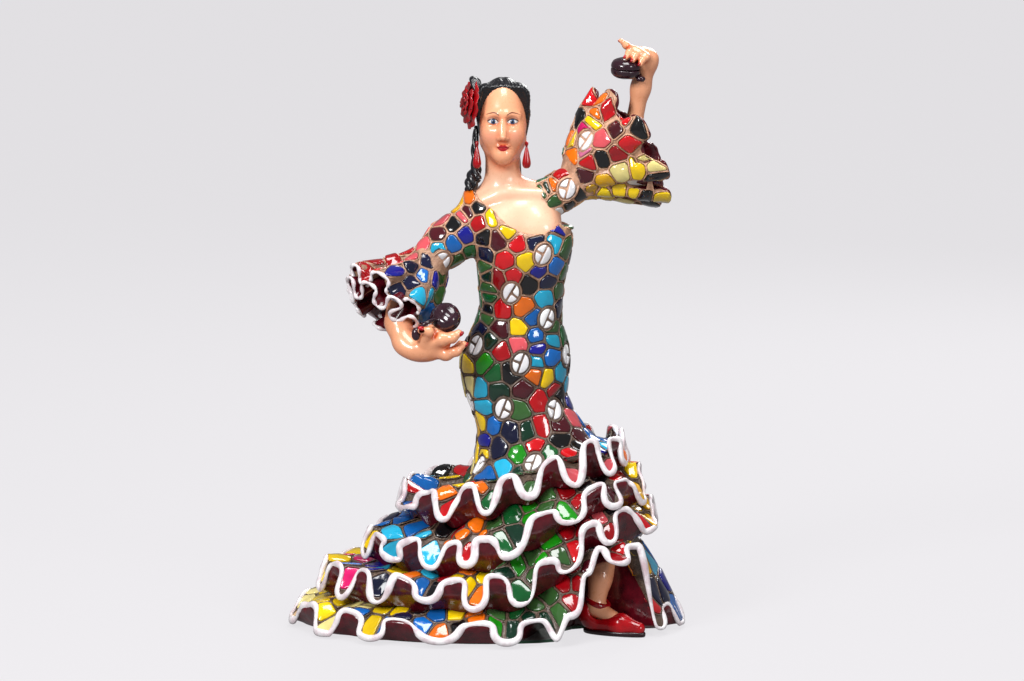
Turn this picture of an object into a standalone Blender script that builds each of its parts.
"""Flamenco dancer souvenir figurine, 20 cm tall, as the castings that are pinned and glued together.

The frame has its origin on the shelf, under the middle of the skirt hem. +Z is up, the dancer
faces -Y, and +X is on the viewer's right when the figurine is seen from the front.
Lengths below are millimetres. MM turns them into Blender's metres where a shape is made.
"""

import math

import bmesh
import bpy
from mathutils import Matrix, Vector

MM = 0.001
GAP = 0.3  # glue gap between neighbouring castings
PAD_HEIGHT = 1.0
FLOOR = PAD_HEIGHT + GAP  # underside of the castings that stand on the felt pad

# Dress casting from the neckline down: height, centre x, centre y, half width, half depth.
# The neckline itself climbs from the middle to the shoulder strap, from NECKLINE[0] to NECKLINE[1].
NECKLINE = (133.0, 142.0)
STRAP = (-4.0, 8.0)  # x of the strap and of the foot of its slope
DRESS = (
    (133.0, 12.0, -1.0, 16.2, 11.0),
    (128.0, 12.0, -2.0, 16.0, 12.0),
    (122.0, 11.8, -1.5, 15.0, 11.5),
    (115.0, 11.3, -0.5, 13.8, 10.3),
    (108.0, 11.2, 0.0, 13.3, 9.8),
    (102.0, 10.4, 0.5, 14.2, 10.6),
    (96.0, 9.9, 1.2, 16.6, 12.4),
    (90.0, 9.3, 1.8, 18.0, 13.8),
    (84.0, 9.2, 1.8, 17.6, 13.8),
    (78.0, 9.6, 1.2, 16.4, 13.2),
    (72.0, 12.2, 0.5, 16.6, 13.2),
    (66.0, 15.0, 0.0, 17.8, 14.2),
    (61.0, 17.0, 0.0, 21.0, 17.0),
)
# Where the dress flares out over the first flounce: centre x, half width, half depth.
FLARE = (17.4, 27.6, 22.5)
FLARE_HEIGHT = (51.0, 61.0)  # at the train's side and at the raised side
LIP = 0.8  # thickness of the flare's edge
CORE = (10.0, 20.0, 16.0)  # hidden pillar that the flounces are threaded on

# Flounces, top to bottom: rim centre x, half width, half depth, rim height at the train's side
# and at the raised side, where the rise runs from and to in x, wave count and wave height.
FLOUNCES = (
    (8.5, 38.5, 30.0, 44.0, 60.0, -20.0, 44.0, 16, 4.3),
    (6.0, 47.0, 35.0, 29.0, 48.0, -10.0, 44.0, 17, 4.8),
    (0.5, 56.5, 39.5, 18.0, 38.0, 10.0, 42.0, 20, 4.3),
    (0.0, 66.0, 44.0, 6.2, 6.2, 0.0, 1.0, 22, 3.4),
)
WALL_INSET = 5.5  # how far the lining's foot sits inside the rim
WALL_DROP = 7.0
RIM_HALF = 0.6
STACK_RELIEF = 0.9  # how much the stacked faces draw apart towards the pillar
SAMPLES_PER_WAVE = 5
# The bottom flounce is gathered up over the stepping foot.
OPENING_ANGLE = math.radians(-37.0)
OPENING_WIDTH = math.radians(34.0)
OPENING_RISE = 21.5
OPENING_RECESS = (-18.5, 11.5)  # how far the lining's foot moves back there

DEFAULT_SIDES = 32


# ---------------------------------------------------------------- scene and materials


def clear_scene():
    for thing in list(bpy.data.objects):
        bpy.data.objects.remove(thing)


def new_collection(name):
    made = bpy.data.collections.new(name)
    bpy.context.scene.collection.children.link(made)
    return made


def material(name, colour, roughness, metallic=0.0):
    made = bpy.data.materials.new(name)
    made.use_nodes = True
    shader = made.node_tree.nodes["Principled BSDF"]
    shader.inputs["Base Color"].default_value = (*colour, 1.0)
    shader.inputs["Roughness"].default_value = roughness
    shader.inputs["Metallic"].default_value = metallic
    return made


def place(name, mesh_or_curve, finish):
    """A part of the figurine, shaded and put in the figurine's collection."""
    part = bpy.data.objects.new(name, mesh_or_curve)
    part.data.materials.append(finish)
    PARTS.objects.link(part)
    return part


def mesh_from(name, bm):
    bmesh.ops.recalc_face_normals(bm, faces=bm.faces)
    mesh = bpy.data.meshes.new(name)
    bm.to_mesh(mesh)
    bm.free()
    mesh.shade_smooth()
    mesh.set_sharp_from_angle(angle=math.radians(40))
    return mesh


# ---------------------------------------------------------------- shape tools


def smooth_step(value, start, end):
    share = min(1.0, max(0.0, (value - start) / (end - start)))
    return share * share * (3 - 2 * share)


def loft_mesh(name, rings, wrap=False):
    """Skin over a row of rings with the same number of points, capped or joined end to end."""
    bm = bmesh.new()
    rows = [[bm.verts.new(point * MM) for point in ring] for ring in rings]
    following = rows[1:] + rows[:1] if wrap else rows[1:]
    for row, after in zip(rows, following):
        for here in range(len(row)):
            there = (here + 1) % len(row)
            bm.faces.new((row[here], row[there], after[there], after[here]))
    if not wrap:
        bm.faces.new(rows[0][::-1])
        bm.faces.new(rows[-1])
    return mesh_from(name, bm)


def ellipse(centre, half_width, half_depth, height, sides=DEFAULT_SIDES):
    """Ring of points round a centre. height is a number or a function of x."""
    ring = []
    for step in range(sides):
        angle = 2 * math.pi * step / sides
        x = centre[0] + half_width * math.cos(angle)
        y = centre[1] + half_depth * math.sin(angle)
        ring.append(Vector((x, y, height(x) if callable(height) else height)))
    return ring


def axes_across(direction):
    """Two unit vectors square to a direction and to each other."""
    along = Vector(direction).normalized()
    first = along.cross(Vector((0, 0, 1))).normalized()
    return first, first.cross(along)


def ball(centre, radii, turn=(0.0, 0.0, 0.0)):
    """An ellipsoid to be fused. turn is an Euler rotation in degrees."""
    return ("ball", Vector(centre), Vector(radii), turn)


def limb(start, end, start_radius, end_radius):
    """A tapered rod with round ends, to be fused."""
    return ("limb", Vector(start), Vector(end), (start_radius, end_radius))


def chain(points, radii):
    """Limbs from each point to the next."""
    spans = zip(points, points[1:], radii, radii[1:])
    return [limb(start, end, near, far) for start, end, near, far in spans]


def add_rod(bm, start, end, near, far, sides):
    """A closed tapered rod between two points."""
    span = end - start
    turn = span.to_track_quat("Z", "Y").to_matrix().to_4x4()
    bmesh.ops.create_cone(
        bm,
        cap_ends=True,
        segments=sides,
        radius1=near * MM,
        radius2=far * MM,
        depth=span.length * MM,
        matrix=Matrix.Translation((start + end) / 2 * MM) @ turn,
    )


def add_shape(bm, shape, grow):
    """One ball or limb in a bmesh, made bigger all round by grow."""
    sphere = dict(u_segments=20, v_segments=12, radius=MM)
    if shape[0] == "ball":
        _, centre, radii, turn = shape
        spin = Matrix.Rotation(math.radians(turn[2]), 4, "Z")
        spin @= Matrix.Rotation(math.radians(turn[1]), 4, "Y")
        spin @= Matrix.Rotation(math.radians(turn[0]), 4, "X")
        size = Matrix.Diagonal((*(radii + Vector((grow,) * 3)), 1.0))
        bmesh.ops.create_uvsphere(bm, matrix=Matrix.Translation(centre * MM) @ spin @ size, **sphere)
        return
    _, start, end, radii = shape
    near, far = radii[0] + grow, radii[1] + grow
    for centre, radius in ((start, near), (end, far)):
        size = Matrix.Diagonal((radius, radius, radius, 1.0))
        bmesh.ops.create_uvsphere(bm, matrix=Matrix.Translation(centre * MM) @ size, **sphere)
    add_rod(bm, start, end, near, far, 20)


def fused_object(name, shapes, voxel, faces, home, grow=0.0):
    """Balls and limbs melted into one closed skin of about so many faces."""
    bm = bmesh.new()
    for shape in shapes:
        add_shape(bm, shape, grow)
    mesh = bpy.data.meshes.new(name)
    bm.to_mesh(mesh)
    bm.free()
    made = bpy.data.objects.new(name, mesh)
    home.objects.link(made)
    melt = made.modifiers.new("melt", "REMESH")
    melt.mode = "VOXEL"
    melt.voxel_size = voxel * MM
    melt.use_smooth_shade = True
    bpy.context.view_layer.update()
    graph = bpy.context.evaluated_depsgraph_get()
    fine = len(made.evaluated_get(graph).data.polygons)
    soften = made.modifiers.new("soften", "SMOOTH")
    soften.factor = 0.5
    soften.iterations = 3
    thin_out = made.modifiers.new("thin_out", "DECIMATE")
    thin_out.ratio = min(1.0, faces / (2 * fine))
    return made


def fused(name, shapes, finish, voxel=0.7, faces=500):
    """A fused part."""
    part = fused_object(name, shapes, voxel, faces, PARTS)
    part.data.materials.append(finish)
    return part


def hide_cutter(cutter):
    cutter.hide_render = True
    cutter.display_type = "WIRE"
    return cutter


def make_cutter(cutter):
    """Puts an object with the helpers, where it is neither rendered nor built."""
    CUTTERS.objects.link(cutter)
    return hide_cutter(cutter)


def fused_cutter(name, shapes, grow=GAP + 0.3, faces=300):
    """The room that a fused part needs in its neighbours."""
    return hide_cutter(fused_object(name, shapes, 0.8, faces, CUTTERS, grow))


def rod_cutter(name, start, end, radius):
    bm = bmesh.new()
    add_rod(bm, Vector(start), Vector(end), radius, radius, 16)
    return make_cutter(bpy.data.objects.new(name, mesh_from(name, bm)))


def box_cutter(name, low, high):
    bm = bmesh.new()
    low, high = Vector(low) * MM, Vector(high) * MM
    size = Matrix.Diagonal((*(high - low), 1.0))
    bmesh.ops.create_cube(bm, size=1.0, matrix=Matrix.Translation((low + high) / 2) @ size)
    return make_cutter(bpy.data.objects.new(name, mesh_from(name, bm)))


def cut(part, *cutters):
    for cutter in cutters:
        removal = part.modifiers.new("cut_" + cutter.name, "BOOLEAN")
        removal.operation = "DIFFERENCE"
        removal.solver = "EXACT"
        removal.object = cutter


def tube(name, points, radii, finish, sides=3):
    """A round bar along a smooth line, as a curve with a bevel and filled ends."""
    line = bpy.data.curves.new(name, "CURVE")
    line.dimensions = "3D"
    line.bevel_depth = MM
    line.bevel_resolution = sides
    line.use_fill_caps = True
    spline = line.splines.new("POLY")
    spline.points.add(len(points) - 1)
    for knot, point, radius in zip(spline.points, points, radii):
        knot.co = (*(Vector(point) * MM), 1.0)
        knot.radius = radius
    return place(name, line, finish)


def turned(name, profile, finish, centre, axis, steps=16):
    """A profile of (radius, height) points turned about an axis through centre."""
    mesh = bpy.data.meshes.new(name)
    points = [(radius * MM, 0.0, height * MM) for radius, height in profile]
    mesh.from_pydata(points, [(i, i + 1) for i in range(len(points) - 1)], [])
    part = place(name, mesh, finish)
    turn = part.modifiers.new("turn", "SCREW")
    turn.steps = steps
    turn.render_steps = steps
    turn.use_merge_vertices = True
    turn.merge_threshold = 0.00001
    part.location = Vector(centre) * MM
    part.rotation_euler = Vector(axis).to_track_quat("Z", "Y").to_euler()
    return part


def flared_cuff(name, finish, start, end, radii, waves, wave_height, thickness=1.0):
    """An open bell of cloth round a sleeve, with a wavy rim: an open sheet given thickness.

    start and end are each a centre and a direction. The bell bends from one to the other."""
    sides, rows = waves * SAMPLES_PER_WAVE, 4
    bm = bmesh.new()
    rings = []
    for row in range(rows):
        share = row / (rows - 1)
        centre = Vector(start[0]).lerp(Vector(end[0]), share)
        along = Vector(start[1]).lerp(Vector(end[1]), share).normalized()
        first, second = axes_across(along)
        ring = []
        for side in range(sides):
            angle = 2 * math.pi * side / sides
            ripple = share**2 * math.cos(waves * angle)
            radius = radii[0] + (radii[1] - radii[0]) * share**1.3 - 0.35 * wave_height * ripple
            outward = first * math.cos(angle) + second * math.sin(angle)
            point = centre + along * wave_height * 0.6 * ripple + outward * radius
            ring.append(bm.verts.new(point * MM))
        rings.append(ring)
    for ring, after in zip(rings, rings[1:]):
        for here in range(sides):
            there = (here + 1) % sides
            bm.faces.new((ring[here], ring[there], after[there], after[here]))
    part = place(name, mesh_from(name, bm), finish)
    cloth = part.modifiers.new("cloth", "SOLIDIFY")
    cloth.thickness = thickness * MM
    cloth.offset = 0.0
    return part


# ---------------------------------------------------------------- skirt


def gather(angle):
    """0 round most of the bottom hem, 1 where it is gathered up over the foot."""
    off = (angle - OPENING_ANGLE + math.pi) % (2 * math.pi) - math.pi
    return 0.5 + 0.5 * math.cos(math.pi * min(1.0, abs(off) / OPENING_WIDTH))


def flounce_point(number, angle, inset=0.0):
    """Point of a flounce's rim ellipse, moved inwards by inset, at the rim's mean height."""
    centre, half_width, half_depth, low, high, start, end = FLOUNCES[number][:7]
    x = centre + (half_width - inset) * math.cos(angle)
    y = (half_depth - inset) * math.sin(angle)
    rim_x = centre + half_width * math.cos(angle)
    z = low + (high - low) * smooth_step(rim_x, start, end)
    if number == len(FLOUNCES) - 1:
        z += OPENING_RISE * gather(angle)
    return Vector((x, y, z))


def wall_foot(number, angle):
    """Foot of the lining under a flounce's rim."""
    point = flounce_point(number, angle, WALL_INSET)
    if number < len(FLOUNCES) - 1:
        return point - Vector((0, 0, WALL_DROP))
    recess = gather(angle)
    x, y = OPENING_RECESS
    return Vector((point.x + x * recess, point.y + y * recess, FLOOR))


def core_point(angle, height, gap):
    centre, half_width, half_depth = CORE
    x = centre + (half_width + gap) * math.cos(angle)
    return Vector((x, (half_depth + gap) * math.sin(angle), height))


def flare_height(x):
    centre, half_width, _ = FLARE
    low, high = FLARE_HEIGHT
    return low + (high - low) * smooth_step(x, centre - half_width, centre + half_width)


def flounce_top(number, angle):
    """Where a flounce comes out from under the one above, or from under the dress."""
    if number:
        return wall_foot(number - 1, angle) - Vector((0, 0, GAP))
    centre, half_width, half_depth = FLARE
    x = centre + half_width * math.cos(angle)
    return Vector((x, half_depth * math.sin(angle), flare_height(x) - LIP - GAP))


def flounce_section(number, angle):
    """Closed outline of a flounce at one angle: inner top, top, rim, lining foot, inner foot."""
    waves, wave_height = FLOUNCES[number][7:]
    ripple = math.cos(waves * angle)
    if number == len(FLOUNCES) - 1:
        wave_height *= 1 - 0.7 * gather(angle)
    top = flounce_top(number, angle)
    rim = flounce_point(number, angle, 1.2 * ripple) + Vector((0, 0, wave_height * ripple))
    foot = wall_foot(number, angle)
    edge = Vector((0, 0, RIM_HALF))
    outline = [core_point(angle, top.z - STACK_RELIEF, GAP), top, rim + edge, rim - edge]
    if number < len(FLOUNCES) - 1:
        return [*outline, foot, core_point(angle, foot.z + STACK_RELIEF, GAP)]
    # The opening's back wall stands upright and then arches out to the gathered rim.
    arch = foot.lerp(flounce_point(number, angle), 0.12)
    arch.z = FLOOR + 1.0 + 0.75 * OPENING_RISE * gather(angle)
    return [*outline, arch, foot, core_point(angle, FLOOR, GAP)]


def flounce(number, finish):
    samples = FLOUNCES[number][7] * SAMPLES_PER_WAVE
    sections = [flounce_section(number, 2 * math.pi * i / samples) for i in range(samples)]
    name = f"skirt_flounce_{number + 1}"
    return place(name, loft_mesh(name, sections, wrap=True), finish)


def pad_outline(height, sides=60):
    """Outline of the felt pad: the bottom flounce's footprint, drawn in all round."""
    ring = []
    for step in range(sides):
        foot = wall_foot(len(FLOUNCES) - 1, 2 * math.pi * step / sides)
        ring.append(Vector((foot.x * 0.93, foot.y * 0.9, height)))
    return ring


def neckline_height(x):
    low, high = NECKLINE
    return high + (low - high) * smooth_step(x, *STRAP)


def dress_rings(grow=0.0):
    """Rings of the dress from the neckline to above the flare, made bigger all round by grow."""
    _, x, y, wide, deep = DRESS[0]
    rings = []
    for share in (0.04, 0.36, 0.68, 1.0):
        size = (wide + grow) * share, (deep + grow) * share
        rings.append(ellipse((x, y), *size, lambda x: neckline_height(x) + grow))
    return rings + [ellipse((x, y), w + grow, d + grow, z) for z, x, y, w, d in DRESS[1:]]


def dress_body(finish):
    """Bodice, hips and flare over a hidden pillar, in one casting."""
    rings = dress_rings()
    centre, half_width, half_depth = FLARE
    rings.append(ellipse((centre, 0), half_width, half_depth, flare_height))
    rings.append(ellipse((centre, 0), half_width, half_depth, lambda x: flare_height(x) - LIP))
    x, half_width, half_depth = CORE
    under = FLARE_HEIGHT[0] - LIP
    underside = []
    for step in range(DEFAULT_SIDES):
        angle = 2 * math.pi * step / DEFAULT_SIDES
        point = core_point(angle, 0, 0)
        point.z = flounce_top(0, angle).z + GAP
        underside.append(point)
    rings.append(underside)
    rings.append(ellipse((x, 0), half_width, half_depth, under - 10))
    rings.append(ellipse((x, 0), half_width, half_depth, FLOOR))
    return place("dress_body", loft_mesh("dress_body", rings), finish)


# ---------------------------------------------------------------- body


HEAD = [
    ball((5.6, 0.2, 171.5), (7.7, 9.2, 11.8)),
    ball((5.4, -3.4, 164.0), (6.4, 6.4, 7.6)),
    limb((5.3, 0.8, 163), (5.6, 1.2, 148), 5.2, 5.8),
]
CHEST = [
    ball((9.8, -1.0, 135.5), (15.6, 9.8, 11.0)),
    limb((5.2, 1.2, 149), (-2.0, 0.6, 142.6), 5.0, 4.6),
    limb((6.2, 1.2, 149), (19.0, 1.0, 144.5), 5.0, 6.0),
]
TORSO_PIN = ((11.5, 0.0, 124.0), (11.5, 0.0, 142.0))
RAISED_ARM_PIN = ((14.0, 1.2, 144.0), (31.0, 3.2, 149.5))
LOWERED_ARM_PIN = ((2.0, 0.3, 139.0), (-14.0, -1.2, 131.2))
PIN_RADIUS = 1.0

RAISED_SLEEVE = chain(
    [(20.0, 1.0, 144.0), (26.0, 2.0, 147.0), (34.0, 3.6, 150.6), (42.0, 5.0, 155.0)],
    [6.4, 5.8, 6.2, 7.0],
)
LOWERED_SLEEVE = chain(
    [(-2.0, 0.0, 138.0), (-12.6, -1.0, 131.4), (-20.8, -2.4, 124.6), (-25.0, -4.0, 120.0)],
    [7.2, 7.0, 7.0, 7.0],
)
# Cuffs: start and end, each a centre and a direction, the radii there, and the wave count.
CUFFS = {
    "raised_flounce_outer": (
        ((28.5, 2.5, 148.0), (0.86, 0.18, 0.40)),
        ((42.0, 7.0, 158.4), (0.80, 0.26, 0.54)),
        (7.4, 22.0),
        7,
    ),
    "raised_flounce_inner": (
        ((36.0, 4.2, 151.4), (0.86, 0.18, 0.46)),
        ((48.0, 8.0, 157.8), (0.86, 0.26, 0.44)),
        (8.8, 16.8),
        7,
    ),
    "lowered_flounce_outer": (
        ((-19.4, -2.0, 126.8), (-0.71, -0.20, -0.68)),
        ((-30.6, -8.2, 113.6), (-0.46, -0.36, -0.81)),
        (8.6, 17.6),
        8,
    ),
    "lowered_flounce_inner": (
        ((-24.0, -3.8, 121.4), (-0.66, -0.24, -0.71)),
        ((-30.8, -8.4, 110.8), (-0.42, -0.36, -0.83)),
        (8.6, 14.0),
        8,
    ),
}
CUFF_WAVE_HEIGHT = 4.0

RAISED_HAND = chain(
    [(46.0, 5.2, 158.0), (49.5, 5.0, 171.0), (52.6, 4.0, 180.0), (54.0, 3.0, 186.0)],
    [4.2, 2.9, 2.7, 3.0],
) + [
    ball((52.9, 2.4, 189.4), (3.4, 3.2, 3.6)),
    *chain([(51.5, 1.8, 191.8), (47.8, 1.2, 193.2), (44.3, 0.4, 196.2)], [1.9, 1.3, 0.9]),
    *chain([(51.8, 1.0, 191.8), (47.6, -1.6, 193.0), (45.6, -3.4, 191.6)], [1.8, 1.3, 1.0]),
    *chain([(52.6, 0.4, 191.2), (49.8, -2.2, 192.4), (48.0, -4.0, 190.8)], [1.8, 1.3, 1.0]),
    *chain([(53.4, 0.2, 190.2), (52.0, -2.4, 191.0), (50.3, -4.0, 189.6)], [1.7, 1.2, 0.9]),
    *chain([(54.0, 3.0, 187.6), (51.0, 4.6, 186.6), (48.0, 4.6, 187.6)], [1.8, 1.5, 1.1]),
]
LOWERED_HAND = chain(
    [(-25.6, -4.4, 117.6), (-30.0, -9.0, 111.0), (-30.2, -14.0, 104.0), (-28.0, -17.6, 99.0)],
    [4.6, 4.3, 3.6, 3.4],
) + [
    ball((-22.4, -19.8, 95.8), (6.6, 4.6, 4.0), (0.0, 12.0, 0.0)),
    *chain([(-17.5, -22.4, 96.6), (-12.6, -24.4, 98.0), (-9.4, -23.6, 101.6)], [2.2, 1.6, 1.1]),
    *chain([(-17.6, -20.6, 95.4), (-12.0, -21.4, 93.8), (-7.8, -21.0, 96.4)], [2.3, 1.7, 1.2]),
    *chain([(-18.0, -18.4, 95.4), (-13.2, -17.8, 93.8), (-9.6, -17.6, 97.0)], [2.2, 1.6, 1.1]),
    *chain([(-19.0, -16.6, 96.6), (-15.0, -15.4, 95.8), (-12.4, -15.0, 99.0)], [1.9, 1.4, 1.0]),
    *chain([(-26.0, -21.4, 98.6), (-23.6, -24.2, 100.6), (-21.4, -25.0, 103.0)], [2.2, 1.7, 1.2]),
]
CASTANET_RADIUS = 4.8
CASTANET_HEIGHT = 3.5
RAISED_CASTANETS = ((46.0, -0.6, 187.0), (0.05, -0.12, 0.99))
LOWERED_CASTANETS = ((-13.6, -20.4, 106.4), (-0.25, -0.75, 0.60))

LEG = chain([(38.0, -13.0, 28.0), (37.4, -16.0, 18.0), (36.2, -17.4, 10.5)], [4.6, 3.6, 3.0]) + [
    limb((36.2, -17.6, 8.5), (43.5, -21.0, 4.6), 3.0, 2.2)
]
SHOE = [
    ball((34.4, -16.6, 6.0), (4.1, 3.7, 4.6)),
    limb((36.0, -17.4, 4.2), (44.0, -21.0, 3.6), 3.4, 3.5),
    limb((44.0, -21.0, 3.6), (50.2, -23.8, 2.8), 3.6, 2.2),
]
SOLE_TOP = 1.6
STEP_DIRECTION = Vector((0.91, -0.41, 0.0)).normalized()


def castanets(side, centre, axis, finish, cord_finish, knot):
    """Two hollow shells face to face, and the knot of their cord."""
    axis = Vector(axis).normalized()
    radius, height = CASTANET_RADIUS, CASTANET_HEIGHT
    outer = [(radius * math.sin(a), height * math.cos(a)) for a in quarter_steps(5)]
    wall = 1.3
    inner = [
        ((radius - wall) * math.sin(a), (height - wall) * math.cos(a)) for a in quarter_steps(3)
    ]
    profile = [*outer, *inner[::-1]]
    for name, sign in (("upper", 1), ("lower", -1)):
        middle = Vector(centre) + axis * sign * GAP / 2 * 1.2
        turned(f"{side}_castanet_{name}", profile, finish, middle, axis * sign)
    fused(f"{side}_castanet_cord", [ball(*knot)], cord_finish, voxel=0.4, faces=160)


def quarter_steps(count):
    """Angles from the pole of a dome to its rim."""
    return [math.pi / 2 * step / count for step in range(count + 1)]


# ---------------------------------------------------------------- head pieces


HAIR_CAP = [ball((5.9, 0.9, 173.0), (9.3, 10.2, 12.4))]
FACE_WINDOW = [ball((5.2, -13.6, 165.6), (8.0, 12.6, 14.0)), ball((5.6, 2.0, 150.0), (17, 17, 15))]
HAIR_BUN = [ball((4.6, 13.2, 169.5), (6.6, 4.8, 6.8))]
BRAID = chain(
    [(-3.4, 6.4, 163.0), (-4.8, 6.0, 158.0), (-4.9, 5.2, 152.5), (-5.2, -1.0, 148.6)],
    [2.1, 2.4, 2.6, 1.5],
)
ROSE = [ball((-7.0, -2.2, 174.6), (2.6, 6.2, 7.6), (0.0, -6.0, 24.0))]
EARRINGS = {
    "left": chain([(-3.4, -4.6, 162.6), (-2.9, -5.0, 157.8), (-2.7, -5.0, 155.6)], [0.7, 1.3, 1.5]),
    "right": chain([(13.6, -4.6, 162.6), (13.9, -5.0, 157.8), (13.7, -5.0, 155.6)], [0.7, 1.3, 1.5]),
}


def hair_comb(finish):
    """A curved fan that stands at the back of the head."""
    bm = bmesh.new()
    teeth, rows, base = 8, 3, Vector((-2.6, 7.8, 175.4))
    for row in range(rows):
        for tooth in range(teeth + 1):
            swing = math.radians(-60 + 120 * tooth / teeth)
            reach = 2.5 + 3.2 * row
            across = reach * math.sin(swing)
            x = base.x + across * 0.9
            y = base.y + 0.05 * across**2
            bm.verts.new(Vector((x, y, base.z + reach * math.cos(swing))) * MM)
    bm.verts.ensure_lookup_table()
    for row in range(rows - 1):
        for tooth in range(teeth):
            low = row * (teeth + 1) + tooth
            high = low + teeth + 1
            bm.faces.new([bm.verts[i] for i in (low, low + 1, high + 1, high)])
    part = place("hair_comb", mesh_from("hair_comb", bm), finish)
    plate = part.modifiers.new("plate", "SOLIDIFY")
    plate.thickness = 1.2 * MM
    return part


# ---------------------------------------------------------------- foot and base


def shoe_outline(height, grow=0.0, sides=24):
    """Outline of the sole: a long oval that narrows at the toe."""
    middle = Vector((42.3, -20.3, height))
    across = Vector((STEP_DIRECTION.y, -STEP_DIRECTION.x, 0.0))
    ring = []
    for step in range(sides):
        angle = 2 * math.pi * step / sides
        forward = (10.9 + grow) * math.cos(angle)
        width = (3.5 + grow - 0.05 * forward) * math.sin(angle)
        ring.append(middle + STEP_DIRECTION * forward + across * width)
    return ring


def main():
    clear_scene()
    skin = material("skin_enamel", (0.83, 0.46, 0.29), 0.22)
    mosaic = material("mosaic_enamel", (0.36, 0.20, 0.13), 0.30)
    maroon = material("maroon_enamel", (0.09, 0.012, 0.018), 0.20)
    black = material("black_enamel", (0.008, 0.008, 0.012), 0.18)
    red = material("red_enamel", (0.48, 0.008, 0.012), 0.18)
    plum = material("plum_enamel", (0.035, 0.014, 0.024), 0.16)
    steel = material("steel", (0.55, 0.55, 0.56), 0.35, 1.0)
    felt = material("green_felt", (0.02, 0.07, 0.035), 0.95)

    # Dress and skirt.
    dress = dress_body(mosaic)
    skirts = [flounce(number, maroon) for number in range(len(FLOUNCES))]
    place("base_felt", loft_mesh("base_felt", [pad_outline(z) for z in (0.0, PAD_HEIGHT)]), felt)

    # Bust, on a dowel in the top of the dress. The strap is part of the dress.
    dress_shape = make_cutter(
        bpy.data.objects.new("dress_clearance", loft_mesh("dress_clearance", dress_rings(GAP + 0.3)))
    )
    figure = fused("bust", HEAD + CHEST, skin, voxel=0.8, faces=800)
    below = box_cutter("below_bust", (-60, -60, 90), (60, 60, NECKLINE[0] + GAP))
    cut(figure, dress_shape, below)
    pins = {
        "torso_pin": TORSO_PIN,
        "raised_arm_pin": RAISED_ARM_PIN,
        "lowered_arm_pin": LOWERED_ARM_PIN,
    }
    holes = {}
    for name, (start, end) in pins.items():
        tube(name, [start, end], [PIN_RADIUS] * 2, steel)
        overrun = (Vector(end) - Vector(start)).normalized() * 0.5
        ends = Vector(start) - overrun, Vector(end) + overrun
        holes[name] = rod_cutter(name + "_hole", *ends, PIN_RADIUS + GAP)
    cut(dress, holes["torso_pin"], holes["lowered_arm_pin"])
    cut(figure, *holes.values())

    # Sleeves, saddled on the bust and the dress.
    bust_shape = fused_cutter("bust_clearance", HEAD + CHEST, faces=600)
    raised_arm = fused_cutter("raised_arm_clearance", RAISED_HAND)
    lowered_arm = fused_cutter("lowered_arm_clearance", LOWERED_HAND)
    raised_sleeve = fused("raised_sleeve", RAISED_SLEEVE, mosaic, faces=420)
    cut(raised_sleeve, bust_shape, dress_shape, holes["raised_arm_pin"], raised_arm)
    lowered_sleeve = fused("lowered_sleeve", LOWERED_SLEEVE, mosaic, faces=420)
    cut(lowered_sleeve, bust_shape, dress_shape, holes["lowered_arm_pin"], lowered_arm)
    for name, (start, end, radii, waves) in CUFFS.items():
        finish = maroon if name == "lowered_flounce_inner" else mosaic
        flared_cuff(name, finish, start, end, radii, waves, CUFF_WAVE_HEIGHT)

    # Arms and castanets.
    knots = {
        "raised": ((50.8, -2.0, 183.6), (1.5, 1.2, 1.0)),
        "lowered": ((-19.6, -23.6, 108.6), (1.3, 1.3, 1.5)),
    }
    pairs = {"raised": RAISED_CASTANETS, "lowered": LOWERED_CASTANETS}
    hands = {"raised": RAISED_HAND, "lowered": LOWERED_HAND}
    for side, (centre, axis) in pairs.items():
        castanets(side, centre, axis, plum, plum, knots[side])
        hand = fused(f"{side}_forearm", hands[side], skin, voxel=0.5, faces=760)
        turn = Vector(axis).to_track_quat("Z", "Y").to_euler()
        degrees = [math.degrees(angle) for angle in turn]
        grip = ball(centre, (CASTANET_RADIUS, CASTANET_RADIUS, CASTANET_HEIGHT + 0.2), degrees)
        cut(hand, fused_cutter(side + "_grip", [grip, ball(*knots[side])]))

    # Head pieces.
    hair = fused("hair", HAIR_CAP, black, faces=600)
    window = fused_cutter("face_window", FACE_WINDOW, 0.0)
    hair_shape = fused_cutter("hair_clearance", HAIR_CAP)
    cut(hair, window, bust_shape)
    bun = fused("hair_bun", HAIR_BUN, black, faces=260)
    cut(bun, hair_shape)
    braid = fused("braid", BRAID, black, voxel=0.5, faces=300)
    cut(braid, hair_shape, bust_shape, fused_cutter("bun_clearance", HAIR_BUN))
    comb = hair_comb(black)
    cut(comb, hair_shape)
    rose = fused("rose", ROSE, red, faces=260)
    cut(rose, hair_shape, bust_shape)
    for side, shapes in EARRINGS.items():
        drop = fused(f"earring_{side}", shapes, red, voxel=0.3, faces=140)
        cut(drop, bust_shape)

    # Stepping foot under the gathered hem.
    leg_shape = fused_cutter("leg_clearance", LEG)
    ground = box_cutter("below_sole", (0, -60, -20), (80, 20, SOLE_TOP + GAP))
    leg = fused("leg", LEG, skin, voxel=0.5, faces=240)
    cut(leg, ground)
    shoe = fused("shoe", SHOE, red, voxel=0.5, faces=420)
    mouth = fused_cutter("shoe_mouth", [ball((38.6, -18.6, 8.6), (5.2, 2.8, 3.4), (0, 0, -24))], 0.0)
    cut(shoe, leg_shape, mouth, ground)
    sole = [shoe_outline(z) for z in (GAP, SOLE_TOP)]
    place("shoe_sole", loft_mesh("shoe_sole", sole), black)
    for skirt in skirts[2:]:
        cut(skirt, leg_shape)


PARTS = new_collection("flamenco_dancer_figurine")
CUTTERS = new_collection("cutters")
main()
